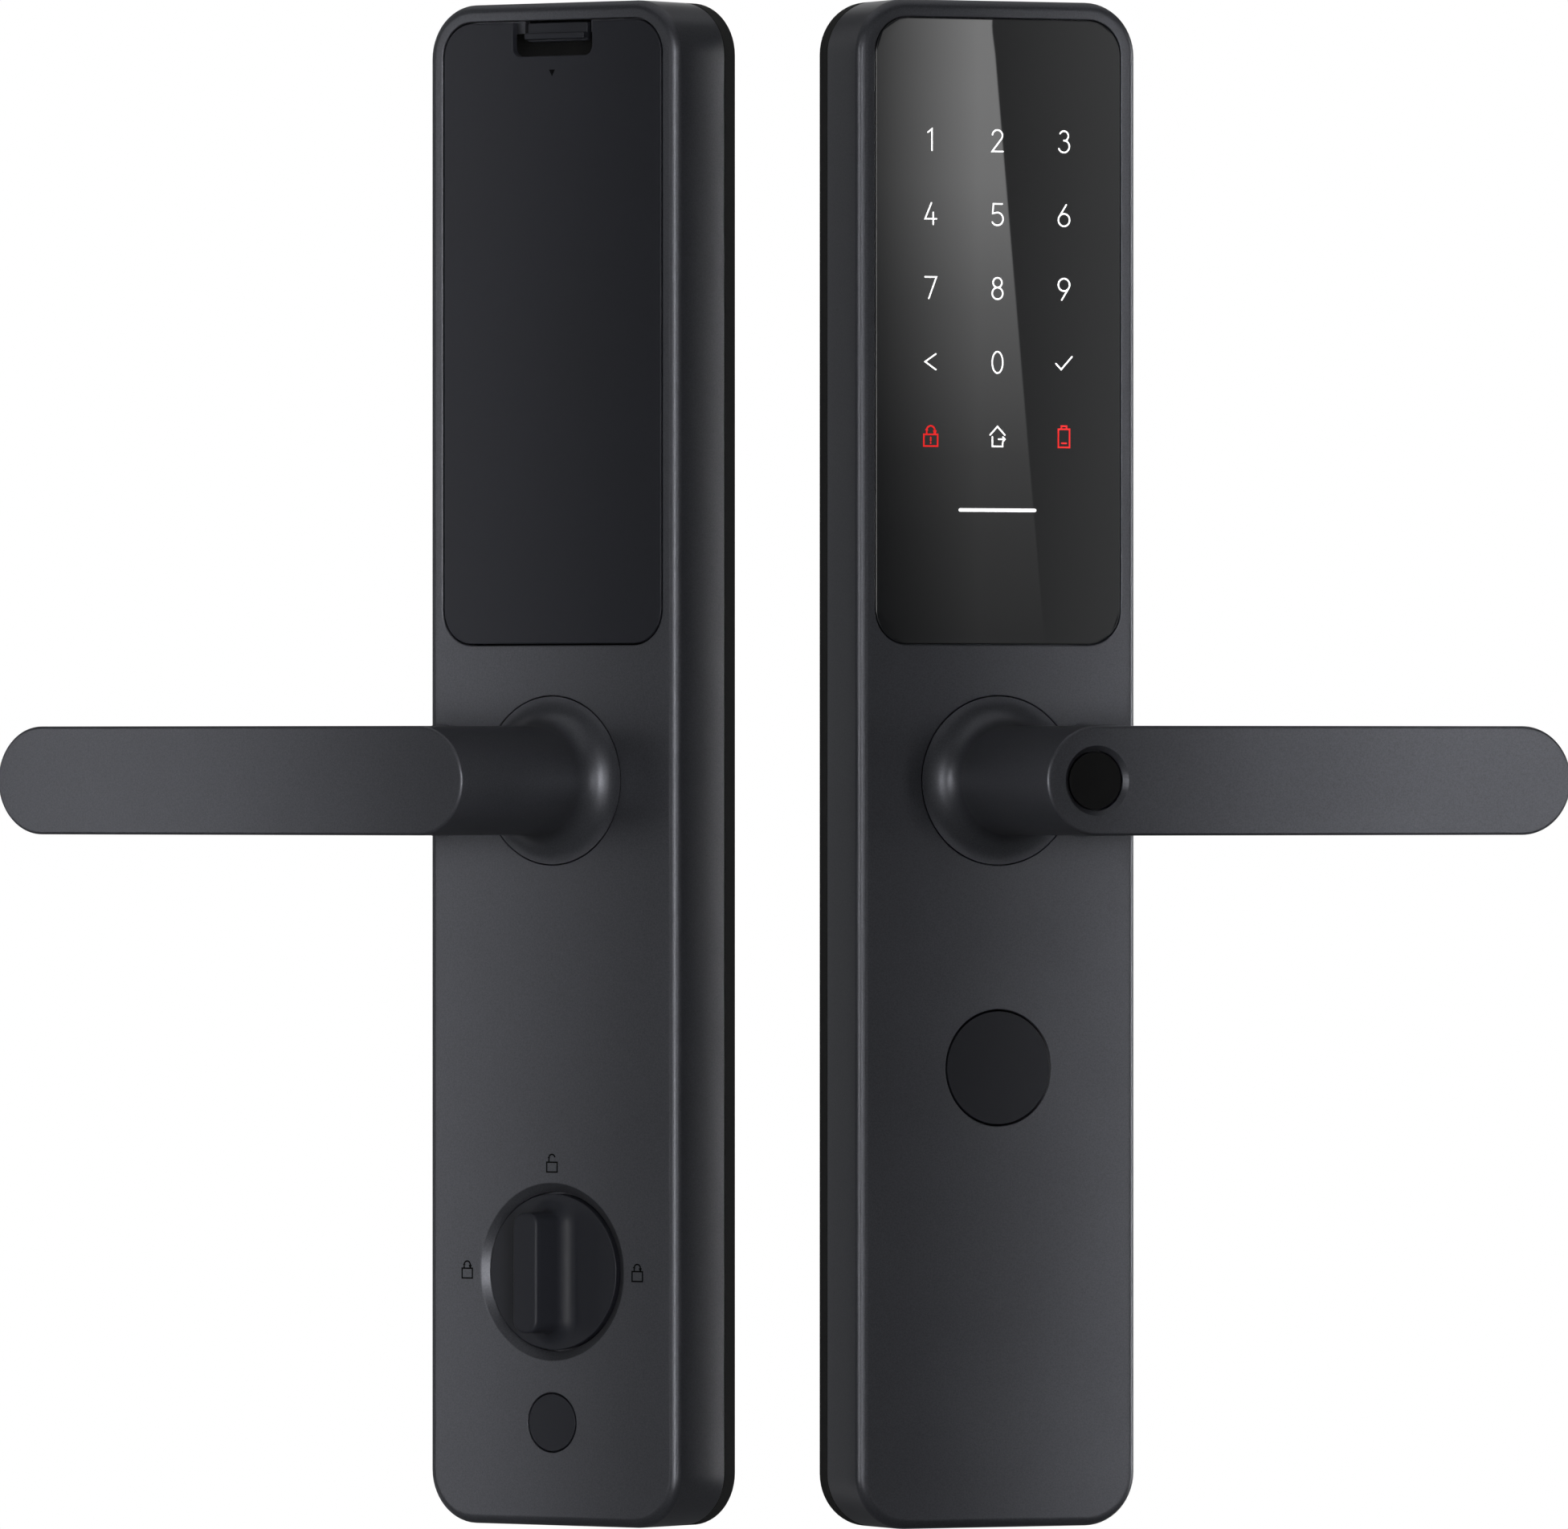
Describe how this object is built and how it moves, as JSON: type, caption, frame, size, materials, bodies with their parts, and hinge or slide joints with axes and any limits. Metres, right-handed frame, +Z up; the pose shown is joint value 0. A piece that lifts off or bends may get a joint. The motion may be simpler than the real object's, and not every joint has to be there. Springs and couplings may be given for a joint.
{
  "type": "keypad lever door lock",
  "caption": "Keypad door lock with fingerprint reader: outside and inside lever escutcheons with keyhole cover, thumb turn, battery cover and spindles, standing apart off the door.",
  "frame": {"origin": "where the outside unit's spindle axis meets the door face", "axes": "+Z up along the escutcheons, +Y from the outside unit into the door, +X to the right seen from outside; the inside unit stands beside it, turned 60.4 degrees clockwise about +Z seen from above"},
  "size_m": [0.3339, 0.2013, 0.372],
  "materials": {
    "coated": "fine-grained charcoal metallic coating",
    "trim": "satin dark plastic",
    "black": "matte black",
    "glass": "gloss, opaque black-backed",
    "sensor": "satin black",
    "steel": "plain",
    "brass": "plain",
    "rubber": "matte",
    "board": "satin",
    "polymer": "satin",
    "cell": "gloss"
  },
  "bodies": {
    "escutcheons": {"outer_housing": "coated", "touch_panel": "glass", "keypad_board": "board", "outer_harness_socket": "polymer", "outer_lever_bush": "polymer", "clutch_motor": "steel", "outer_return_spring": "steel", "keyhole_bezel": "black", "key_cylinder": "steel", "power_port": "steel", "outer_base": "black", "outer_gasket": "rubber", "outer_post_upper": "steel", "outer_post_lower": "steel", "outer_screw_1": "steel", "outer_screw_2": "steel", "outer_screw_3": "steel", "outer_screw_4": "steel", "inner_housing": "coated", "battery_tray": "black", "battery_cell_1": "cell", "battery_cell_2": "cell", "battery_cell_3": "cell", "battery_cell_4": "cell", "battery_cell_5": "cell", "battery_cell_6": "cell", "battery_cell_7": "cell", "battery_cell_8": "cell", "battery_contacts_lower": "steel", "battery_contacts_upper": "steel", "main_board": "board", "inner_harness_header": "polymer", "inner_lever_bush": "polymer", "inner_return_spring": "steel", "detent_spring": "steel", "button_switch": "board", "function_button_spring": "steel", "inner_base": "black", "inner_gasket": "rubber", "inner_screw_1": "steel", "inner_screw_2": "steel"},
    "outer_lever_set": {"outer_lever": "coated", "fingerprint_sensor": "sensor", "outer_hub": "steel", "clutch_pin": "steel", "outer_spindle": "steel"},
    "clutch_screw": {"clutch_screw": "steel"},
    "clutch_yoke": {"clutch_yoke": "polymer"},
    "keyhole_cover": {"keyhole_cover": "trim"},
    "key_plug": {"key_plug": "brass", "key_tail_bar": "steel"},
    "inner_lever_set": {"inner_lever": "coated", "inner_hub": "steel"},
    "thumb_turn": {"thumb_turn_knob": "trim", "detent_cam": "polymer", "thumb_turn_bar": "steel"},
    "battery_cover": {"battery_cover": "trim"},
    "battery_latch": {"battery_latch": "trim"},
    "function_button": {"function_button": "trim"}
  },
  "joints": [
    {"name": "outer_lever_turn", "type": "hinge", "parent": "escutcheons", "child": "outer_lever_set", "pos_m": [0, 0, 0], "axis": [0, 1, 0], "range_deg": [-45, 45], "stiffness_Nm_per_rad": 12},
    {"name": "clutch_screw_turn", "type": "hinge", "parent": "escutcheons", "child": "clutch_screw", "pos_m": [0, -0.0135, 0], "axis": [0, 0, 1], "range_deg": [0, 900]},
    {"name": "clutch_yoke_slide", "type": "slide", "parent": "escutcheons", "child": "clutch_yoke", "axis": [0, 0, 1], "range_m": [0, 0.0025]},
    {"name": "keyhole_cover_tilt", "type": "hinge", "parent": "escutcheons", "child": "keyhole_cover", "pos_m": [0, -0.0229, -0.066], "axis": [-1, 0, 0], "range_deg": [0, 70]},
    {"name": "key_plug_turn", "type": "hinge", "parent": "escutcheons", "child": "key_plug", "pos_m": [0, 0, -0.07], "axis": [0, 1, 0], "range_deg": [-90, 90]},
    {"name": "inner_lever_turn", "type": "hinge", "parent": "escutcheons", "child": "inner_lever_set", "pos_m": [-0.0719, 0.0442, 0], "axis": [-0.8695, -0.4939, 0], "range_deg": [-45, 45], "stiffness_Nm_per_rad": 12},
    {"name": "thumb_turn_rotate", "type": "hinge", "parent": "escutcheons", "child": "thumb_turn", "pos_m": [-0.0719, 0.0442, -0.12], "axis": [-0.8695, -0.4939, 0], "range_deg": [-90, 90]},
    {"name": "battery_cover_open", "type": "hinge", "parent": "escutcheons", "child": "battery_cover", "pos_m": [-0.09199, 0.03279, 0.0454], "axis": [0.4939, -0.8695, 0], "range_deg": [0, 70]},
    {"name": "battery_latch_slide", "type": "slide", "parent": "battery_cover", "child": "battery_latch", "axis": [0, 0, -1], "range_m": [0, 0.0025], "stiffness_N_per_m": 400},
    {"name": "function_button_press", "type": "slide", "parent": "escutcheons", "child": "function_button", "axis": [0.8695, 0.4939, 0], "range_m": [0, 0.001], "stiffness_N_per_m": 900}
  ],
  "couplings": [
    {"joint": "clutch_screw_turn", "follows": "clutch_yoke_slide", "rad_per_m": 6283.2}
  ]
}
